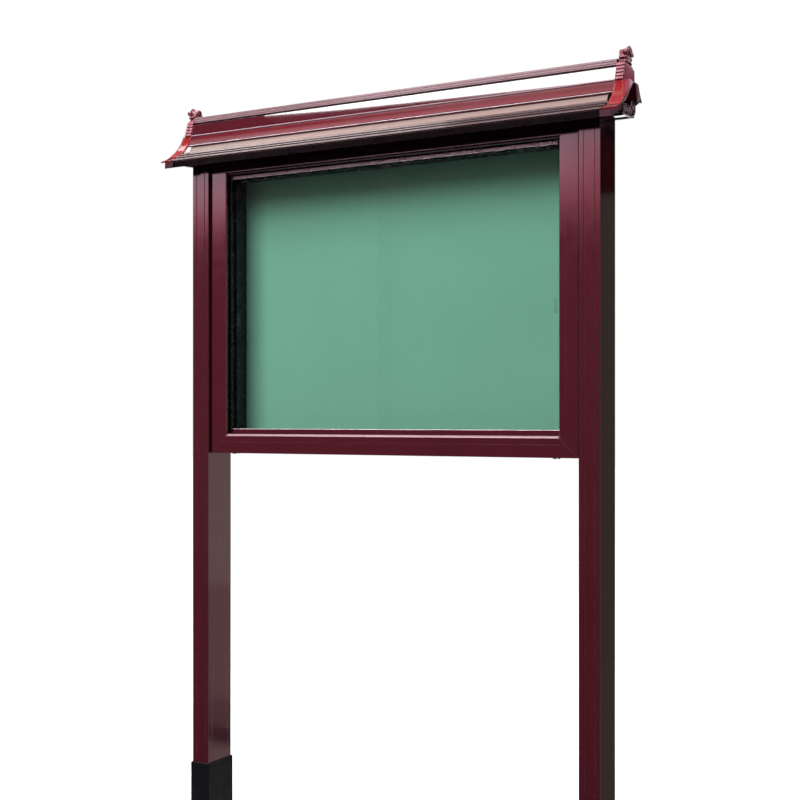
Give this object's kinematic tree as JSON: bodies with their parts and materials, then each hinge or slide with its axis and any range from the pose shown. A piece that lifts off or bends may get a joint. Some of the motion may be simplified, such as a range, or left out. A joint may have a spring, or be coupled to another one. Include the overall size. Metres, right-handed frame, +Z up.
{
  "type": "lockable notice board",
  "caption": "Free-standing roofed notice board on two fluted posts, with a framed pin board behind locking sliding glass doors.",
  "frame": {"origin": "on the ground, at the middle of the bounding box in X and Y", "axes": "+X to the viewer's right along the board, +Y from front to back, +Z up"},
  "size_m": [1.61, 0.2325, 2.7001],
  "materials": {
    "post_paint": "dark maroon gloss paint on an aluminium extrusion",
    "sleeve_black": "black foot sleeve",
    "galvanised": "dull zinc",
    "frame_paint": "dark maroon gloss paint on an aluminium extrusion",
    "track_black": "black semi-matt paint on an aluminium extrusion",
    "board_green": "green pin cloth on board",
    "back_sheet": "maroon painted sheet",
    "buffer_rubber": "black rubber",
    "clear_glass": "clear float glass",
    "door_metal": "black painted aluminium channel",
    "clear_plastic": "clear acrylic",
    "lock_chrome": "bright plated lock",
    "roof_paint": "maroon gloss paint",
    "roof_dark": "near-black paint",
    "ornament_paint": "maroon gloss paint on castings"
  },
  "bodies": {
    "board": {"back_panel": "back_sheet", "back_screws": "galvanised", "bargeboard_left": "ornament_paint", "bargeboard_right": "ornament_paint", "corner_keys": "galvanised", "eave_plate": "roof_paint", "fascia": "roof_dark", "foot_plates": "galvanised", "foot_sleeve_left": "sleeve_black", "foot_sleeve_right": "sleeve_black", "frame_rail_bottom": "frame_paint", "frame_rail_top": "frame_paint", "frame_spacers": "galvanised", "frame_stile_left": "frame_paint", "frame_stile_right": "frame_paint", "frieze": "roof_paint", "gable_carving_left": "ornament_paint", "gable_carving_right": "ornament_paint", "gable_panels": "roof_dark", "jamb_buffers": "buffer_rubber", "lock_housings": "lock_chrome", "pin_board": "board_green", "post_caps": "post_paint", "post_left": "post_paint", "post_right": "post_paint", "rafters": "roof_paint", "rear_closure": "roof_dark", "rear_tie": "roof_dark", "ridge_bar": "roof_paint", "ridge_case": "roof_paint", "ridge_end_left": "ornament_paint", "ridge_end_right": "ornament_paint", "ridge_head_left": "ornament_paint", "ridge_head_right": "ornament_paint", "roof_beam": "roof_dark", "roof_brackets": "galvanised", "side_bolts": "galvanised", "track_rail_bottom": "frame_paint", "track_rail_top": "track_black", "track_stile_left": "track_black", "track_stile_right": "track_black", "upper_course_front": "roof_paint", "upper_course_rear": "roof_paint", "verge_front_left": "roof_paint", "verge_front_right": "roof_paint", "verge_rear": "roof_paint"},
    "door_right": {"glass_pane_right": "clear_glass", "door_shoe_right": "frame_paint", "top_guard_right": "door_metal", "edge_channel_right": "door_metal", "finger_tab_right": "clear_plastic"},
    "door_left": {"glass_pane_left": "clear_glass", "door_shoe_left": "frame_paint", "top_guard_left": "door_metal", "edge_channel_left": "door_metal", "finger_tab_left": "clear_plastic"},
    "lock_plug_right": {"lock_plug_right": "lock_chrome"},
    "lock_plug_left": {"lock_plug_left": "lock_chrome"},
    "lock_bolt_right": {"lock_bolt_right": "lock_chrome"},
    "lock_bolt_left": {"lock_bolt_left": "lock_chrome"}
  },
  "joints": [
    {"name": "door_right_slide", "type": "slide", "parent": "board", "child": "door_right", "axis": [-1, 0, 0], "range_m": [0, 0.595]},
    {"name": "door_left_slide", "type": "slide", "parent": "board", "child": "door_left", "axis": [1, 0, 0], "range_m": [0, 0.595]},
    {"name": "lock_turn_right", "type": "hinge", "parent": "board", "child": "lock_plug_right", "pos_m": [0.585, -0.0097, 1.5], "axis": [0, 0, 1], "range_deg": [-5, 95]},
    {"name": "lock_turn_left", "type": "hinge", "parent": "board", "child": "lock_plug_left", "pos_m": [-0.585, 0.0123, 1.5], "axis": [0, 0, 1], "range_deg": [-5, 95]},
    {"name": "lock_bolt_right_rise", "type": "slide", "parent": "board", "child": "lock_bolt_right", "axis": [0, 0, 1], "range_m": [0, 0.012]},
    {"name": "lock_bolt_left_rise", "type": "slide", "parent": "board", "child": "lock_bolt_left", "axis": [0, 0, 1], "range_m": [0, 0.012]}
  ],
  "couplings": [
    {"joint": "lock_turn_right", "follows": "lock_bolt_right_rise", "rad_per_m": 130.9},
    {"joint": "lock_turn_left", "follows": "lock_bolt_left_rise", "rad_per_m": 130.9}
  ]
}
